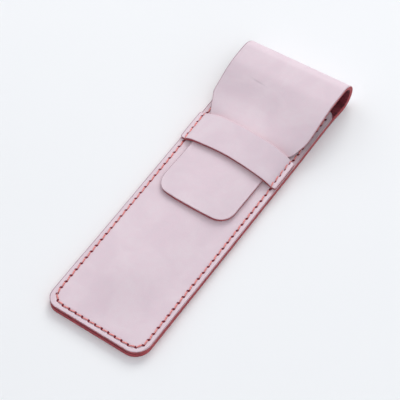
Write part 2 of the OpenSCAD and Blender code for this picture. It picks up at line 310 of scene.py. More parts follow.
class Shader:
    """Node tree of one material with a Principled surface."""

    def __init__(self, name):
        self.material = bpy.data.materials.new(name)
        self.material.use_nodes = True
        self.tree = self.material.node_tree
        self.surface = self.tree.nodes["Principled BSDF"]

    def node(self, kind, settings=None, sockets=None, output=0):
        """Adds a node, sets it, fills its sockets and returns one output."""
        made = self.tree.nodes.new(kind)
        for name, value in (settings or {}).items():
            setattr(made, name, value)
        for key, value in (sockets or {}).items():
            self.fill(made.inputs[key], value)
        return Value(self, made.outputs[output])

    def fill(self, socket, value):
        """Links a value to a socket or writes a constant on it."""
        if isinstance(value, Value):
            self.tree.links.new(value.socket, socket)
        else:
            socket.default_value = value

    def attribute(self, name):
        """Vector that the mesh carries under a name."""
        return self.node("ShaderNodeAttribute", {"attribute_name": name}, output="Vector")

    def parts(self, vector):
        """The three numbers of a vector."""
        made = self.node("ShaderNodeSeparateXYZ", None, {"Vector": vector}).socket.node
        return [Value(self, out) for out in made.outputs]

    def stretch(self, vector, scale):
        """Vector times a fixed vector."""
        return self.node("ShaderNodeVectorMath", {"operation": "MULTIPLY"}, {0: vector, 1: scale})

    def noise(self, vector, scale, detail=3.0, roughness=0.5, distortion=0.0):
        """Fractal noise around 0.5, whose scale is its coarsest features for each mm."""
        return self.node("ShaderNodeTexNoise", None, {
            "Vector": vector, "Scale": scale, "Detail": detail,
            "Roughness": roughness, "Distortion": distortion})

    def mix(self, factor, first, second):
        """Colour between two colours."""
        return self.node(
            "ShaderNodeMix", {"data_type": "RGBA"}, {0: factor, 6: first, 7: second}, output=2)

    def bump(self, height, distance, strength):
        """Normal that a height gives the surface."""
        return self.node("ShaderNodeBump", None, {
            "Height": height, "Distance": distance, "Strength": strength})

    def finish(self, varying, fixed):
        """Fills the surface's sockets."""
        for name, value in {**fixed, **varying}.items():
            self.fill(self.surface.inputs[name], value)
        return self.material


def rgba(colour, gain=1.0):
    """Colour with an alpha, made lighter or darker by a gain."""
    return tuple(min(c * gain, 1.0) for c in colour) + (1.0,)


def tinted(colour, tint, gain=1.0):
    """Colour whose red, green and blue are each taken times a number."""
    return rgba([c * t for c, t in zip(colour, tint)], gain)


def crease_mark(place, centre):
    """Share of a small pressed crease, at a place in mm given across and along the leather."""
    across, length, _ = place.shader.parts(place)
    across = (across - centre[0]) * (1 / MARK_SIZE[0])
    length = (length - centre[1] - across * MARK_TURN) * (1 / MARK_SIZE[1])
    return ((across * across + length * length) * -1.0).math("EXPONENT")


def grain_material(name, gain=1.0, mark=None):
    """Smooth vegetable-tanned grain: faint clouds, pores, hair lines and handling marks."""
    shader = Shader(name)
    colour = colours().grain
    place = shader.attribute("leather")
    grain_depth = 0.055 * MM
    cloud = shader.noise(place, 0.055, 4.0, 0.55, 0.6).ramp(0.34, 0.68)
    mottle = shader.noise(place, 0.42, 3.0, 0.6).ramp(0.36, 0.66)
    speck = shader.noise(place, 3.6, 2.0, 0.6).ramp(0.52, 0.74)
    hair = shader.noise(shader.stretch(place, (1.8, 0.22, 1.0)), 1.1, 5.0, 0.62, 0.8)
    hair = hair.ramp(0.52, 0.70)
    dull, light = tinted(colour, (0.955, 0.935, 0.950), gain), tinted(colour, (1.02, 1.03, 1.025), gain)
    skin = shader.mix(cloud, dull, light)
    skin = shader.mix(mottle * 0.30, skin, tinted(colour, (1.02, 0.93, 0.96), gain))
    skin = shader.mix(speck * 0.22, skin, tinted(colour, (0.84, 0.76, 0.80), gain))
    # Painted highlight along the cut rims and the seam's pressed groove: the grain turns lighter there,
    # partly the margins' own rosier tone
    rim = shader.node("ShaderNodeAttribute", {"attribute_name": "rim"}, output="Fac")
    skin = shader.mix(rim * 0.6, skin, tinted(colour, (1.09, 0.98, 1.0), gain))
    pores = shader.node("ShaderNodeTexVoronoi", {"feature": "F1"}, {"Vector": place, "Scale": 2.3})
    pores = pores.ramp(0.0, 0.42)
    creases = shader.node("ShaderNodeTexVoronoi", {"feature": "DISTANCE_TO_EDGE"}, {
        "Vector": place, "Scale": 0.95})
    creases = creases.ramp(0.0, 0.10)
    height = pores * 0.35 + creases * 0.25 + hair * -0.22 + mottle * 0.30
    rough = 0.50 + cloud * 0.07 + speck * 0.06 + hair * 0.05
    if mark:
        dent = crease_mark(place, mark)
        skin = shader.mix(dent * 0.26, skin, tinted(colour, (0.45, 0.42, 0.46)))
        height = height - dent * 2.0
    return shader.finish(
        {"Base Color": skin, "Roughness": rough, "Normal": shader.bump(height, grain_depth, 0.55)},
        {"Specular IOR Level": 0.38, "Sheen Weight": 0.06, "Sheen Roughness": 0.45})


def flesh_material():
    """Dark red suede: short brushed fibres, with crease lines across the fold darkened by painted
    shade.
    """
    shader = Shader("flesh_suede")
    nap_depth = 0.40 * MM
    colour = colours().flesh
    place = shader.attribute("leather")
    nap = shader.noise(shader.stretch(place, (1.0, 0.35, 1.0)), 2.6, 6.0, 0.7, 1.2)
    patch = shader.noise(shader.stretch(place, (0.35, 1.0, 1.0)), 0.30, 3.0, 0.6).ramp(0.38, 0.62)
    fibre = nap.ramp(0.38, 0.68)
    crease = shader.noise(shader.stretch(place, (0.16, 1.0, 1.0)), 1.1, 3.0, 0.6, 0.8)
    dark = shader.mix(patch, rgba(colour, 0.30), rgba(colour, 1.10))
    lit = shader.mix(fibre * 0.50, dark, tinted(colour, (2.1, 1.9, 1.8)))
    # Painted shade: the crease lines across the fold are darkened to a fifth of the suede's colour
    crease_shaded = shader.mix(crease.ramp(0.54, 0.66) * 0.7, lit, rgba(colour, 0.22))
    return shader.finish(
        {"Base Color": crease_shaded, "Roughness": 0.82 + fibre * 0.12,
         "Normal": shader.bump(nap + crease * -0.8, nap_depth, 0.9)},
        {"Specular IOR Level": 0.2, "Sheen Weight": 0.25, "Sheen Roughness": 0.5})


def cut_edge_material():
    """Raw cut edge: packed fibres that run along it, with darker and paler threads."""
    shader = Shader("cut_edge")
    fibre_depth = 0.25 * MM
    colour = colours().cut_edge
    place = shader.attribute("leather")
    layers = shader.noise(shader.stretch(place, (0.45, 0.45, 3.2)), 1.6, 5.0, 0.65, 0.7)
    tufts = shader.noise(place, 2.8, 4.0, 0.7, 0.5)
    dark = shader.mix(layers.ramp(0.40, 0.60), rgba(colour, 0.42), rgba(colour, 1.22))
    lit = shader.mix(tufts.ramp(0.50, 0.72) * 0.65, dark, tinted(colour, (1.75, 2.5, 2.2)))
    height = layers * 0.7 + tufts * 0.5
    return shader.finish(
        {"Base Color": lit, "Roughness": 0.72 + tufts * 0.15,
         "Normal": shader.bump(height, fibre_depth, 0.85)},
        {"Specular IOR Level": 0.28, "Sheen Weight": 0.12})


def thread_material():
    """Waxed linen: three plies that wind round each stitch, with painted shade between them and painted
    highlight on their crests.
    """
    shader = Shader("waxed_thread")
    plies = 3.0
    ply_depth = 0.10 * MM
    colour = colours().thread
    wind = shader.attribute("ply")
    travelled, around, _ = shader.parts(wind)
    ply = (travelled + around * plies).math("SINE") * 0.5 + 0.5
    fuzz = shader.noise(wind, 3.5, 3.0, 0.6)
    tone = shader.noise(shader.stretch(wind, (0.15, 0.15, 1.0)), 0.9, 1.0).ramp(0.35, 0.65)
    # Painted shade and highlight: a darker copy of the thread in the ply grooves, a lighter pink copy
    # on the crests
    body = shader.mix(ply.ramp(0.10, 0.75), rgba(colour, 0.66), tinted(colour, (1.06, 1.25, 1.25)))
    lit = shader.mix(tone * 0.35, body, tinted(colour, (0.92, 0.72, 0.72)))
    return shader.finish(
        {"Base Color": lit, "Roughness": 0.34 + fuzz * 0.20,
         "Normal": shader.bump(ply + fuzz * 0.35, ply_depth, 0.9)},
        {"Specular IOR Level": 0.5, "Sheen Weight": 0.1})


def slit_material():
    """Dark sheet over an awl slit: painted shade down in the hole, over the dark red colour of the
    leather's core.
    """
    shader = Shader("awl_slit")
    core_depth = 0.1 * MM
    # Painted shade: the darker colour stands for the shade down in the hole, the lighter one for the
    # core's dark red
    shadow, core = (0.120, 0.012, 0.022), (0.260, 0.030, 0.044)
    place = shader.attribute("leather")
    grain = shader.noise(place, 4.0, 3.0, 0.6)
    dark = shader.mix(grain.ramp(0.4, 0.65), rgba(shadow), rgba(core))
    return shader.finish(
        {"Base Color": dark, "Roughness": 0.8 + grain * 0.1,
         "Normal": shader.bump(grain, core_depth, 0.6)},
        {"Specular IOR Level": 0.15})


def floor_material():
    """Pale matt table top with a very faint texture."""
    shader = Shader("floor")
    colour = colours().floor
    texture_depth = 0.03 * MM
    place = shader.node("ShaderNodeTexCoord", output="Object")
    cloud = shader.noise(place, 6.0, 3.0).ramp(0.3, 0.7)
    fine = shader.noise(place, 900.0, 2.0)
    tone = shader.mix(cloud, rgba(colour, 0.992), rgba(colour))
    return shader.finish(
        {"Base Color": tone, "Roughness": 0.75 + fine * 0.1,
         "Normal": shader.bump(fine, texture_depth, 0.3)},
        {"Specular IOR Level": 0.2})


def smooth(value):
    """Smooth step of a number kept between 0 and 1."""
    t = min(max(value, 0.0), 1.0)
    return t * t * (3 - 2 * t)


def spline(points, at):
    """Smooth curve through given points, without overshoot."""
    if at <= points[0][0]:
        return points[0][1]
    for (x0, y0), (x1, y1) in zip(points, points[1:]):
        if at <= x1:
            before = slope(points, x0)
            after = slope(points, x1)
            t = (at - x0) / (x1 - x0)
            h = x1 - x0
            return ((1 + 2 * t) * (1 - t) ** 2 * y0 + t * (1 - t) ** 2 * h * before
                    + t * t * (3 - 2 * t) * y1 + t * t * (t - 1) * h * after)
    return points[-1][1]


def slope(points, at):
    """Gradient of the curve at one of its points."""
    i = [p[0] for p in points].index(at)
    if i in (0, len(points) - 1):
        return 0.0
    (x0, y0), (x1, y1), (x2, y2) = points[i - 1:i + 2]
    first, second = (y1 - y0) / (x1 - x0), (y2 - y1) / (x2 - x1)
    return 0.0 if first * second <= 0 else 2 * first * second / (first + second)


def along(y):
    """Place in mm from the closed end."""
    return (y - CLOSED_END) / MM


def rises(y, stretch):
    """Smooth step over a stretch of the sleeve."""
    start, length = stretch
    return smooth((along(y) - start) / length)


def outward(x, stretch):
    """Smooth step over a stretch away from the middle."""
    start, length = stretch
    return smooth((abs(x) - start) / length)


def lift(y):
    """Height that the flap's pull lifts the pocket off the table near its mouth."""
    return LIFT * rises(y, LIFT_RISES) * (1 - rises(y, LIFT_FALLS))


def pinched(x, y):
    """Share to which the stitches squeeze the leather towards its long sides."""
    return outward(x, PINCH_ACROSS) * rises(y, PINCH_RISES) * (1 - rises(y, PINCH_FALLS))


def layer_thickness(x, y):
    """Thickness of the back or of the front panel."""
    return LEATHER - PINCH * pinched(x, y)


def strap_thickness(x):
    """Thickness of the strap, whose sewn ends are pared down."""
    return LEATHER - STRAP_PARED * outward(x, STRAP_PARED_ACROSS)


def crown(x, y):
    """Height of the front panel above its flat rim, lower where the strap holds it down."""
    across = max(1 - (x / RISE_HALF) ** 2, 0.0) ** 2
    held = 1 - STRAP_HOLD * rises(y, STRAP_HOLDS)
    return sizes().crown * across * held * rises(y, CROWN_RISES)


def panel_top(x, y):
    """Height of the front panel's grain side."""
    return lift(y) + 2 * layer_thickness(x, y) + crown(x, y)


def strap_under(x, y):
    """Height of the strap's underside, which hugs the tongue and spreads over its shoulders."""
    upper = min(max((y - STRAP_LOW[1]) / (STRAP_HIGH[1] - STRAP_LOW[1]), 0.0), 1.0)
    place = abs(x) / MM
    low = spline(STRAP_LOW_EDGE, place)
    high = spline(STRAP_HIGH_LEFT if x < 0 else STRAP_HIGH_RIGHT, place)
    seated = panel_top(x, y) + STRAP_GAP
    return max((low + (high - low) * upper) * MM, seated)


def flap_height(x, y):
    """Height of the flap's middle layer above the table."""
    place = along(y)
    resting = PANEL_TOP + lift(y) + crown(x, y) + LAYER_GAP + LEATHER / 2
    share = min(abs(x) / HALF, 1.0) ** SIDE_SHARE_POWER
    free = (spline(CENTRE_HEIGHT, place) * (1 - share) + spline(SIDE_HEIGHT, place) * share) * MM
    freed = rises(y, FLAP_FREED)
    return resting * (1 - freed) + free * freed


def seam_distance(x, y):
    """Distance from the row of stitches, or a long way where no row is near."""
    far = 1.0
    low = CLOSED_END + SEAM_MARGIN
    dx = abs(x) - (ROW_X - ROW_CORNER)
    dy = (low + ROW_CORNER) - y
    if dy > 0 and dx > 0:
        return abs(math.hypot(dx, dy) - ROW_CORNER)
    return min(abs(abs(x) - ROW_X), abs(y - low) if dx <= 0 else far)


def pressed(x, y):
    """Depth to which the pulled thread presses the leather along its row."""
    if along(y) > PRESS_ENDS:
        return 0.0
    return PRESS * math.exp(-(seam_distance(x, y) / PRESS_REACH) ** 2)


def facing(height, x, y):
    """Upward direction square to a surface whose height is known everywhere."""
    step = 0.2 * MM
    rise_x = (height(x + step, y) - height(x - step, y)) / (2 * step)
    rise_y = (height(x, y + step) - height(x, y - step)) / (2 * step)
    return Vector((-rise_x, -rise_y, 1)).normalized()


def columns():
    """Places across a sheet from -1 to 1, closer together over the stitch rows."""
    sparse, dense, turn = 22, 16, 0.80
    inner = [i / sparse * turn for i in range(sparse)]
    outer = [turn + (1 - turn) * i / dense for i in range(dense + 1)]
    half = inner + outer
    return [-c for c in reversed(half[1:])] + half


class Skin:
    """Points and faces of one piece of leather, with the texture places of its points."""

    GRAIN, FLESH, EDGE = range(3)

    def __init__(self):
        self.places, self.coords, self.rims = [], [], []
        self.faces, self.kinds = [], []

    def point(self, place, coord, rim=0.0):
        """Adds a point in the frame's metres and returns its number."""
        self.places.append(place)
        self.coords.append(coord)
        self.rims.append(rim)
        return len(self.places) - 1

    def face(self, ring, kind=0):
        """Adds a face through points, of one kind of surface."""
        self.faces.append(ring)
        self.kinds.append(kind)

    def object(self, name, materials):
        """Object with one material for each kind of surface."""
        made = mesh_object(name, self.places, self.faces, materials)
        made.data.polygons.foreach_set("material_index", self.kinds)
        store(made, "leather", "FLOAT_VECTOR", "vector", [n for c in self.coords for n in c])
        store(made, "rim", "FLOAT", "value", self.rims)
        return made


def mesh_object(name, places, faces, materials):
    """Smooth object from points and faces."""
    mesh = bpy.data.meshes.new(name)
    mesh.from_pydata([tuple(p) for p in places], [], faces)
    mesh.polygons.foreach_set("use_smooth", [True] * len(faces))
    for material in materials:
        mesh.materials.append(material)
    made = bpy.data.objects.new(name, mesh)
    bpy.context.scene.collection.objects.link(made)
    return made


def store(made, name, kind, field, numbers):
    """Stores numbers on the points of an object, for its materials."""
    held = made.data.attributes.new(name, kind, "POINT")
    held.data.foreach_set(field, numbers)
    made.data.update()


class Sheet:
    """A sheet of leather through rows of points on its middle layer."""

    def __init__(self, rows, normals, press, thickness):
        self.rows = rows
        self.normals = normals
        self.press = press
        self.thickness = thickness
        self.lengths = [0.0]
        middle = len(rows[0]) // 2
        for before, after in zip(rows, rows[1:]):
            self.lengths.append(self.lengths[-1] + (after[middle] - before[middle]).length)

    def chains(self, first, last, cut):
        """Cut edges of a stretch of rows, each as grid places in order."""
        width = len(self.rows[0]) - 1
        left = [(r, 0) for r in range(last, first - 1, -1)]
        right = [(r, width) for r in range(first, last + 1)]
        start = [(first, c) for c in range(1, width)]
        end = [(last, c) for c in range(width - 1, 0, -1)]
        if all(cut):
            return [(start + right + end + left, True)]
        if cut[0]:
            return [(left + start + right, False)]
        if cut[1]:
            return [(right + end + left, False)]
        return [(left, False), (right, False)]

    def solid(self, name, materials, first=0, last=None, cut=(True, True)):
        """Piece over a stretch of rows, whose first and last row may be cut or run on."""
        last = len(self.rows) - 1 if last is None else last
        width = len(self.rows[0])
        skin, index = Skin(), {}
        for side in (1, -1):
            for r in range(first, last + 1):
                for c in range(width):
                    point, normal = self.rows[r][c], self.normals[r][c]
                    half = self.thickness(point) / 2
                    depth = self.press(point) if side > 0 else 0.0
                    # The rim mask carries the painted highlight of the cut edges and of the seam's
                    # pressed groove
                    rim = max(PRESS_HIGHLIGHT_AND_TINT * depth / PRESS, self.rim(r, c, first, last, cut))
                    coord = (point.x / MM, self.lengths[r] / MM, side * half / MM)
                    index[side, r, c] = skin.point(point + normal * (side * half - depth), coord, rim)
        for r in range(first, last):
            for c in range(width - 1):
                ring = [(r, c), (r, c + 1), (r + 1, c + 1), (r + 1, c)]
                skin.face([index[1, *p] for p in reversed(ring)], Skin.GRAIN)
                skin.face([index[-1, *p] for p in ring], Skin.FLESH)
        for chain, closed in self.chains(first, last, cut):
            self.wall(skin, chain, closed, index)
        return skin.object(name, materials)

    def rim(self, r, c, first, last, cut):
        """1 on a cut edge and 0 a little inside it, the mask of the grain's painted rim highlight."""
        point = self.rows[r][c]
        gaps = [(point - self.rows[r][0]).length, (point - self.rows[r][-1]).length]
        if cut[0]:
            gaps.append((point - self.rows[first][c]).length)
        if cut[1]:
            gaps.append((point - self.rows[last][c]).length)
        return 1 - smooth(min(gaps) / RIM_WIDTH)

    def profile(self, point):
        """Reach and height of the cut edge, which leans under a little."""
        round_r = sizes().edge_round
        half = self.thickness(point) / 2
        shape = [(round_r * math.sin(a), half - round_r * (1 - math.cos(a))) for a in EDGE_TURNS]
        shape += [(round_r * EDGE_BULGE, share * (half - round_r)) for share in EDGE_FLATS]
        shape += [(x, -z) for x, z in reversed(shape[:len(EDGE_TURNS)])]
        return [(x + EDGE_LEAN * z, z) for x, z in shape]

    def wall(self, skin, chain, closed, index):
        """Rounded cut edge along a chain of grid places, whose top rounding is still grain."""
        rings = []
        count = len(chain)
        for i, (r, c) in enumerate(chain):
            before = chain[(i - 1) % count] if closed or i else chain[i]
            after = chain[(i + 1) % count] if closed or i < count - 1 else chain[i]
            point, normal = self.rows[r][c], self.normals[r][c]
            tangent = (self.rows[after[0]][after[1]] - self.rows[before[0]][before[1]]).normalized()
            out = normal.cross(tangent).normalized()
            ring = [index[1, r, c]]
            for step, (reach, height) in enumerate(self.profile(point)):
                at = point / EDGE_ROUGH_SIZE + Vector((0, 0, step * EDGE_ROUGH_STEP))
                rough = noise.noise(at) * EDGE_ROUGH
                coord = (point.x / MM, self.lengths[r] / MM, height / MM)
                # Every point of a cut edge takes the full rim mask, so the grain's rounding gets the
                # painted highlight
                ring.append(skin.point(point + out * (reach + rough) + normal * height, coord, 1.0))
            ring.append(index[-1, r, c])
            rings.append(ring)
        pairs = list(zip(rings, rings[1:])) + ([(rings[-1], rings[0])] if closed else [])
        for one, two in pairs:
            for k in range(len(one) - 1):
                kind = Skin.GRAIN if k < EDGE_GRAIN_STEPS else Skin.EDGE
                skin.face([one[k], one[k + 1], two[k + 1], two[k]], kind)


def corner_cut(radius, depth):
    """How far a rounded corner takes a side in, at a depth from the end."""
    left = max(radius - depth, 0.0)
    return radius - math.sqrt(radius * radius - left * left)


def rounded_rows(start, end, start_corners, end_corners, step):
    """Places and half widths, left and right, of rows between two rounded ends."""
    inset = sizes().edge_round
    sign = 1 if end > start else -1
    length = abs(end - start)
    depths = set()
    for corners, at_end in ((start_corners, False), (end_corners, True)):
        reach = max(corners) - inset
        turns = [math.pi / 2 * i / CORNER_ROWS for i in range(CORNER_ROWS + 1)]
        arcs = [inset + reach * (1 - math.cos(a)) for a in turns]
        depths.update(length - d if at_end else d for d in arcs)
    low, high = max(start_corners), length - max(end_corners)
    count = max(round((high - low) / step), 1)
    depths.update(low + (high - low) * i / count for i in range(1, count))
    low_row = abs(CLOSED_END + SEAM_MARGIN - start)
    near = range(-SEAM_STEPS, SEAM_STEPS + 1)
    depths.update(low_row + k * SEAM_STEP for k in near if low_row < length)
    rows = []
    for depth in sorted(depths):
        halves = [HALF - inset - corner_cut(start_corners[side] - inset, depth - inset)
                  - corner_cut(end_corners[side] - inset, length - depth - inset) for side in (0, 1)]
        rows.append((start + sign * depth, halves))
    return rows


def spread(halves):
    """Places across a row whose left and right half widths differ."""
    return [c * halves[0 if c < 0 else 1] for c in columns()]


def back_height(x, y):
    """Height of the back's middle layer."""
    return lift(y) + layer_thickness(x, y) / 2


def skewed(x, share):
    """Step along the sleeve that the skewed fold gives a place across it."""
    return sizes().fold_skew * x / HALF * share


def back_rows():
    """Rows and normals of the back, up to the fold."""
    rows, normals = [], []
    start = CLOSED_END - BACK_PROUD
    places = rounded_rows(start, FOLD_START, LOW_CORNERS, FOLD_CORNERS, PANEL_STEP)
    for y, halves in places[:-CORNER_ROWS]:
        share = BACK_SKEW_SHARE * rises(y, BACK_SKEWS)
        under = BACK_SHY * (1 - rises(y, BACK_WIDENS))
        across = spread([half - under for half in halves])
        rows.append([Vector((x, y + skewed(x, share), back_height(x, y))) for x in across])
        normals.append([-facing(back_height, x, y) for x in across])
    return rows, normals


def fold_rows():
    """Rows and normals round the fold."""
    rows, normals = [], []
    inset = sizes().edge_round
    centre = Vector((0, FOLD_START, FOLD_R))
    for i in range(1, FOLD_ROWS + 1):
        turned = i / FOLD_ROWS
        a = math.pi * (turned - 0.5)
        share = BACK_SKEW_SHARE + (1 - BACK_SKEW_SHARE) * smooth(turned / FOLD_SETTLED)
        out = Vector((0, math.cos(a), math.sin(a)))
        flare = FOLD_FLARE * smooth((turned - FOLD_SETTLED) / (1 - FOLD_SETTLED))
        across = spread([HALF + flare - inset, HALF - inset])
        rows.append([centre + FOLD_MID_R * out + Vector((x, skewed(x, share), 0)) for x in across])
        normals.append([out] * len(across))
    return rows, normals


def flap_rows():
    """Rows and normals of the flap and of its tongue, down to the rounded tip."""
    inset = sizes().edge_round
    corner = TONGUE_CORNER - inset
    tip_half = TONGUE_HALF - inset - corner * (1 - math.sin(TIP_TURN))
    bow = math.tan(TIP_TURN) * tip_half / 2
    corner_y = TONGUE_LOW[1] + inset + bow + corner * math.cos(TIP_TURN)
    count = round((FOLD_START - corner_y) / FLAP_STEP)
    places = []
    for i in range(1, count + 1):
        y = FOLD_START + (corner_y - FOLD_START) * i / count
        halves = [spline(side, along(y)) * MM - inset for side in (FLAP_LEFT, FLAP_RIGHT)]
        places.append([(x, y, skewed(x, rises(y, FLAP_SKEWS))) for x in spread(halves)])
    for i in range(1, TIP_ROWS + 1):
        a = (math.pi / 2 - TIP_TURN) * i / TIP_ROWS
        half = TONGUE_HALF - inset - corner * (1 - math.cos(a))
        edge_y = corner_y - corner * math.sin(a)
        deep = bow * i / TIP_ROWS
        places.append([(x, edge_y - deep * (1 - (x / half) ** 2), 0.0) for x in spread([half] * 2)])
    rows = [[flap_point(*place) for place in row] for row in places]
    return rows, [[facing(flap_height, x, y) for x, y, _ in row] for row in places]


def strip_sheet():
    """The long strip: back, fold, flap and tongue in one continuous sheet."""
    parts = (back_rows(), fold_rows(), flap_rows())
    rows = [row for part, _ in parts for row in part]
    normals = [row for _, part in parts for row in part]
    return Sheet(rows, normals, back_press, strip_thickness)


def flap_point(x, y, skew):
    """Point on the flap's middle layer, with the tongue drawn a little to one side."""
    end, length = TONGUE_DRAWS
    drawn = min(max((end + length - along(y)) / length, 0.0), 1.0)
    x = x * (1 + TONGUE_WIDENED * drawn) - TONGUE_DRAWN * drawn
    return Vector((x, y + skew, flap_height(x, y)))


def back_press(point):
    """The seam's press, which the strip takes only on its back."""
    return pressed(point.x, point.y) if point.z < LEATHER else 0.0


def strip_thickness(point):
    """Thickness of the strip, squeezed on its back and pared along the tongue's sides."""
    if point.z < LEATHER:
        return layer_thickness(point.x, point.y)
    pared = outward(point.x, TONGUE_PARED_ACROSS) * (1 - rises(point.y, PARED_ENDS))
    return LEATHER - TONGUE_PARED * pared


def nearest_row(sheet, target, after):
    """Row of a sheet past another row whose middle is nearest a point."""
    middle = len(sheet.rows[0]) // 2
    return min(range(after, len(sheet.rows)), key=lambda r: (sheet.rows[r][middle] - target).length)


class SLEEVE_OT_strip(bpy.types.Operator):
    """Build the back, the fold, the flap and the tongue from one strip"""

    bl_idname = "sleeve.strip"
    bl_label = "Leather strip"

    def execute(self, context):
        sheet = strip_sheet()
        spot = flap_point(MARK_PLACE[0] * MM, CLOSED_END + MARK_PLACE[1] * MM, 0.0)
        spot_row = nearest_row(sheet, Vector((0, spot.y, spot.z)), len(sheet.rows) // 2)
        mark = (MARK_PLACE[0], sheet.lengths[spot_row] / MM)
        # The flap's grain is a slightly darker copy of the same leather: painted shade
        materials = [grain_material("grain_flap", 0.985, mark), flesh_material(), cut_edge_material()]
        fold, top, low = (CREASES[n] for n in ("flap_bow", "flap_crease", "tongue_slide"))
        folded = next(r for r, row in enumerate(sheet.rows) if row[0].z > LEATHER)
        rear_y = fold.y + (top.y - fold.y) * REAR_SHARE
        rear = nearest_row(sheet, Vector((0, rear_y, REAR_HIGH[2])), folded)
        front = nearest_row(sheet, (top + low) / 2, folded)
        back = sheet.solid("back_and_fold", materials, 0, rear, (True, False))
        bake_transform(back)
        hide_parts("back_panel", "flap_rear")
        crease = sheet.solid("flap_crease", materials, rear, front, (False, False))
        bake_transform(crease)
        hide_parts("flap_front")
        tongue = sheet.solid("flap_and_tongue", materials, front, None, (False, True))
        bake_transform(tongue)
        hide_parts("tongue")
        return {"FINISHED"}


class SLEEVE_OT_front(bpy.types.Operator):
    """Build the crowned front panel of the pocket"""

    bl_idname = "sleeve.front"
    bl_label = "Front panel"

    def execute(self, context):
        rows, normals = [], []
        for y, halves in rounded_rows(MOUTH, CLOSED_END, MOUTH_CORNERS, LOW_CORNERS, PANEL_STEP):
            across = spread(halves)
            rows.append([Vector((x, y, self.height(x, y))) for x in across])
            normals.append([facing(self.height, x, y) for x in across])
        sheet = Sheet(rows, normals, lambda p: pressed(p.x, p.y), lambda p: layer_thickness(p.x, p.y))
        materials = [grain_material("grain_body"), flesh_material(), cut_edge_material()]
        panel = sheet.solid("pocket_front", materials)
        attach(panel, "pocket")
        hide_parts("front_panel")
        return {"FINISHED"}

    def height(self, x, y):
        """Height of the panel's middle layer."""
        return panel_top(x, y) - layer_thickness(x, y) / 2


class SLEEVE_OT_strap(bpy.types.Operator):
    """Build the keeper strap that arches over the tongue"""

    bl_idname = "sleeve.strap"
    bl_label = "Keeper strap"

    def execute(self, context):
        rows, normals = [], []
        for y, halves in rounded_rows(
                STRAP_HIGH[1], STRAP_LOW[1], SQUARE_CORNERS, SQUARE_CORNERS, STRAP_STEP):
            across = spread(halves)
            rows.append([Vector((x, y, self.height(x, y))) for x in across])
            normals.append([facing(self.height, x, y) for x in across])
        sheet = Sheet(rows, normals, lambda p: pressed(p.x, p.y), lambda p: strap_thickness(p.x))
        # The strap's grain is a slightly lighter copy of the same leather: painted light
        materials = [grain_material("grain_strap", 1.02), flesh_material(), cut_edge_material()]
        strap = sheet.solid("strap", materials)
        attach(strap, "pocket")
        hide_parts("keeper_strap")
        return {"FINISHED"}

    def height(self, x, y):
        """Height of the strap's middle layer."""
        return strap_under(x, y) + strap_thickness(x) / 2


def seam_holes():
    """Stitch holes from one end of the mouth around the closed end to the other."""
    straight = ROW_X - ROW_CORNER
    bend = math.pi / 2 * ROW_CORNER
    lower = straight + bend + STRAIGHT_FROM - CORNER
    count = round(lower / PITCH)

    def right_hole(n):
        if n > count:
            return Vector((ROW_X, CLOSED_END + STRAIGHT_FROM + (n - count) * PITCH))
        s = n * lower / count
        if s <= straight:
            return Vector((s, CLOSED_END + SEAM_MARGIN))
        if s <= straight + bend:
            a = (s - straight) / ROW_CORNER
            return Vector((straight + ROW_CORNER * math.sin(a),
                           CLOSED_END + CORNER - ROW_CORNER * math.cos(a)))
        return Vector((ROW_X, CLOSED_END + CORNER + s - straight - bend))

    right = [right_hole(n) for n in range(count + SIDE_HOLES + 1)]
    return [Vector((-p.x, p.y)) for p in reversed(right[1:])] + right


def surface(point):
    """Height of the leather that a stitch lies on."""
    edge = 0.25 * MM
    over = smooth((point.y - STRAP_LOW[1] + edge) / (2 * edge)) * smooth(
        (STRAP_HIGH[1] + edge - point.y) / (2 * edge))
    low = panel_top(point.x, point.y)
    high = strap_under(point.x, point.y) + strap_thickness(point.x)
    return low + (high - low) * over


def tube(path, radius, number, held, flat=1.0):
    """Adds a closed tube of thread along a path, with its winding, to what is held."""
    places, faces, winds = held
    sides = THREAD_SIDES
    start = len(places)
    travelled = 0.0
    for i, point in enumerate(path):
        before, after = path[max(i - 1, 0)], path[min(i + 1, len(path) - 1)]
        travelled += (point - before).length
        tangent = (after - before).normalized()
        side = tangent.cross(Vector((0, 0, 1))).normalized()
        up = side.cross(tangent).normalized()
        end = min(i, len(path) - 1 - i)
        size = radius * TAPER[min(end, len(TAPER) - 1)]
        for k in range(sides):
            a = 2 * math.pi * k / sides
            places.append(point + side * (size * math.cos(a)) + up * (size * flat * math.sin(a)))
            winds.append((travelled / radius * WINDING, a, number))
    for i in range(len(path) - 1):
        for k in range(sides):
            n = (k + 1) % sides
            one, two = start + i * sides, start + (i + 1) * sides
            faces.append([one + k, one + n, two + n, two + k])
    faces.append([start + k for k in range(sides)][::-1])
    faces.append([start + (len(path) - 1) * sides + k for k in range(sides)])


def stitch_path(one, two, height, slant, draw):
    """Path of one stitch between two holes, pulled down at both ends."""
    step = two - one
    normal = Vector((-step.y, step.x)).normalized()
    start, end = one - normal * slant, two + normal * slant
    start, end = start + (end - start) * STITCH_GAP, end - (end - start) * STITCH_GAP
    steps = 10
    path = []
    for i in range(steps + 1):
        t = i / steps
        flat = start + (end - start) * t
        bow = 1 - abs(2 * t - 1) ** BOW_POWER
        path.append(Vector((flat.x, flat.y, height(flat) + draw * (bow - BOW_SUNK))))
    return path


def thread_object(name, held):
    """Object of the tubes that are held."""
    places, faces, winds = held
    made = mesh_object(name, places, faces, [thread_material()])
    store(made, "ply", "FLOAT_VECTOR", "vector", [n for w in winds for n in w])
    return made


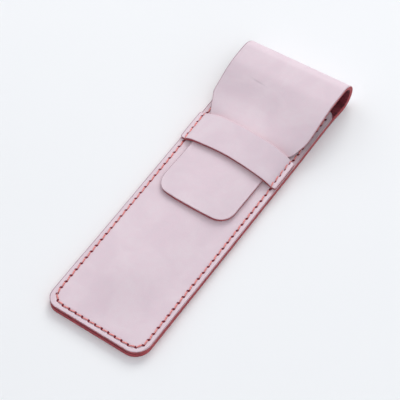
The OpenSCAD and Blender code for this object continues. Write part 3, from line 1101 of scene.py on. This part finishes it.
def slit_object(name, holes, height, side):
    """Dark awl slits of painted shade around the thread, set at a slant to the row, on one side of the
    leather.
    """
    skin = Skin()
    turns = [2 * math.pi * k / SLIT_SIDES for k in range(SLIT_SIDES)]
    for i, hole in enumerate(holes):
        before, after = holes[max(i - 1, 0)], holes[min(i + 1, len(holes) - 1)]
        angle = math.atan2(after.y - before.y, after.x - before.x) + SLIT_TURN
        long_way = Vector((math.cos(angle), math.sin(angle))) * SLIT_HALVES[0]
        short_way = Vector((-math.sin(angle), math.cos(angle))) * SLIT_HALVES[1]
        rings = []
        for reach, proud in SLIT_RINGS:
            ring = []
            for a in turns:
                flat = hole + (long_way * math.cos(a) + short_way * math.sin(a)) * reach
                place = Vector((flat.x, flat.y, height(flat) + side * proud))
                ring.append(skin.point(place, (flat.x / MM, flat.y / MM, i)))
            rings.append(ring)
        outer, inner = rings
        for k in range(SLIT_SIDES):
            n = (k + 1) % SLIT_SIDES
            skin.face([outer[k], outer[n], inner[n], inner[k]][::side])
        skin.face(inner[::side])
    return skin.object(name, [slit_material()])


class SLEEVE_OT_seam(bpy.types.Operator):
    """Sew the seam: slits, slanted stitches on both faces and the locked ends"""

    bl_idname = "sleeve.seam"
    bl_label = "Saddle stitched seam"

    def execute(self, context):
        holes = seam_holes()
        radius = sizes().thread / 2
        slant = sizes().stitch_slant
        front, back = ([], [], []), ([], [], [])

        def top(p):
            return surface(p) - pressed(p.x, p.y)

        def bottom(p):
            return lift(p.y) + pressed(p.x, p.y)

        def over(p):
            return top(p) + radius * FRONT_PROUD

        def under(p):
            return bottom(p) - radius * BACK_PROUD_SHARE

        for i, (one, two) in enumerate(zip(holes, holes[1:])):
            tube(stitch_path(one, two, over, slant, FRONT_BOW), radius, i, front)
            tube(stitch_path(one, two, under, slant, BACK_BOW), radius, i, back, BACK_FLAT)
        for i, ends in enumerate((holes[:2], holes[:-3:-1])):
            shifted = [p + Vector((LOCK_SHIFT * (1 if p.x < 0 else -1), 0)) for p in ends]
            tube(stitch_path(*shifted, over, slant, LOCK_BOW), radius, LOCK_NUMBER + i, front)
        seam = thread_object("seam_stitches", front)
        seam_back = thread_object("seam_stitches_back", back)
        slits = slit_object("awl_slits", holes, top, 1)
        slits_back = slit_object("awl_slits_back", holes, bottom, -1)
        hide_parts("seam_thread")
        for piece in (seam, seam_back):
            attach(piece, "pocket")
        for piece in (slits, slits_back):
            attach(piece, "pocket")
        return {"FINISHED"}


def soft_lamp(name, place, side, power):
    """Square lamp that points at the middle of the sleeve."""
    data = bpy.data.lights.new(name, "AREA")
    data.shape = "SQUARE"
    data.size = side
    data.energy = power
    data.color = LAMP_COLOUR
    lamp = bpy.data.objects.new(name, data)
    lamp.location = place
    lamp.rotation_euler = (-Vector(place)).to_track_quat("-Z", "Y").to_euler()
    bpy.context.scene.collection.objects.link(lamp)


class SLEEVE_OT_stage(bpy.types.Operator):
    """Set the pale floor, the soft lamps, the world and the camera"""

    bl_idname = "sleeve.stage"
    bl_label = "Stage"

    def execute(self, context):
        scene = context.scene
        reach = FLOOR_REACH
        corners = [(-reach, -reach, 0), (reach, -reach, 0), (reach, reach, 0), (-reach, reach, 0)]
        floor = mesh_object("floor", corners, [[0, 1, 2, 3]], [floor_material()])
        for lamp in LAMPS:
            soft_lamp(*lamp)
        self.world(scene)
        self.camera(scene)
        scene.view_settings.view_transform = "Standard"
        return {"FINISHED"}

    def world(self, scene):
        """Bluish light from all round, behind a pale backdrop that only the camera sees."""
        world = bpy.data.worlds.new("studio")
        scene.world = world
        world.use_nodes = True
        nodes, links = world.node_tree.nodes, world.node_tree.links
        light = nodes["Background"]
        light.inputs["Color"].default_value = SKY_COLOUR
        light.inputs["Strength"].default_value = SKY_STRENGTH
        seen = nodes.new("ShaderNodeBackground")
        seen.inputs["Color"].default_value = BACKDROP_COLOUR
        rays = nodes.new("ShaderNodeLightPath")
        choose = nodes.new("ShaderNodeMixShader")
        links.new(rays.outputs["Is Camera Ray"], choose.inputs[0])
        links.new(light.outputs[0], choose.inputs[1])
        links.new(seen.outputs[0], choose.inputs[2])
        links.new(choose.outputs[0], nodes["World Output"].inputs["Surface"])

    def camera(self, scene):
        """Long lens from the front right, at the photograph's angle."""
        data = bpy.data.cameras.new("camera")
        data.sensor_width = FILM_WIDTH
        data.lens = LENS
        data.clip_end = 10.0
        camera = bpy.data.objects.new("camera", data)
        right, up = Vector(CAMERA_RIGHT), Vector(CAMERA_UP)
        turn = Matrix((right, up, right.cross(up))).transposed().to_4x4()
        camera.matrix_world = Matrix.Translation(CAMERA_PLACE) @ turn
        scene.collection.objects.link(camera)
        scene.camera = camera


class SLEEVE_PT_panel(bpy.types.Panel):
    """Sizes, colours and build steps of the pen sleeve"""

    bl_label = "Pen Sleeve"
    bl_idname = "SLEEVE_PT_panel"
    bl_space_type = "VIEW_3D"
    bl_region_type = "UI"
    bl_category = "Sleeve"

    def draw(self, context):
        for group in (context.scene.sleeve_sizes, context.scene.sleeve_colours):
            box = self.layout.box()
            for name in group.__annotations__:
                box.prop(group, name)
        for operator in OPERATORS:
            self.layout.operator(operator.bl_idname)


OPERATORS = (SLEEVE_OT_strip, SLEEVE_OT_front, SLEEVE_OT_strap, SLEEVE_OT_seam, SLEEVE_OT_stage)
CLASSES = (SleeveSizes, SleeveColours, *OPERATORS, SLEEVE_PT_panel)


def register():
    """Adds the classes and the scene's settings."""
    for cls in CLASSES:
        bpy.utils.register_class(cls)
    bpy.types.Scene.sleeve_sizes = PointerProperty(type=SleeveSizes)
    bpy.types.Scene.sleeve_colours = PointerProperty(type=SleeveColours)


def unregister():
    """Removes the settings and the classes."""
    del bpy.types.Scene.sleeve_colours
    del bpy.types.Scene.sleeve_sizes
    for cls in reversed(CLASSES):
        bpy.utils.unregister_class(cls)


def main():
    """Builds the sleeve."""
    register()
    bpy.ops.sleeve.strip()
    bpy.ops.sleeve.front()
    bpy.ops.sleeve.strap()
    bpy.ops.sleeve.seam()
    bpy.ops.sleeve.stage()


if __name__ == "__main__":
    main()
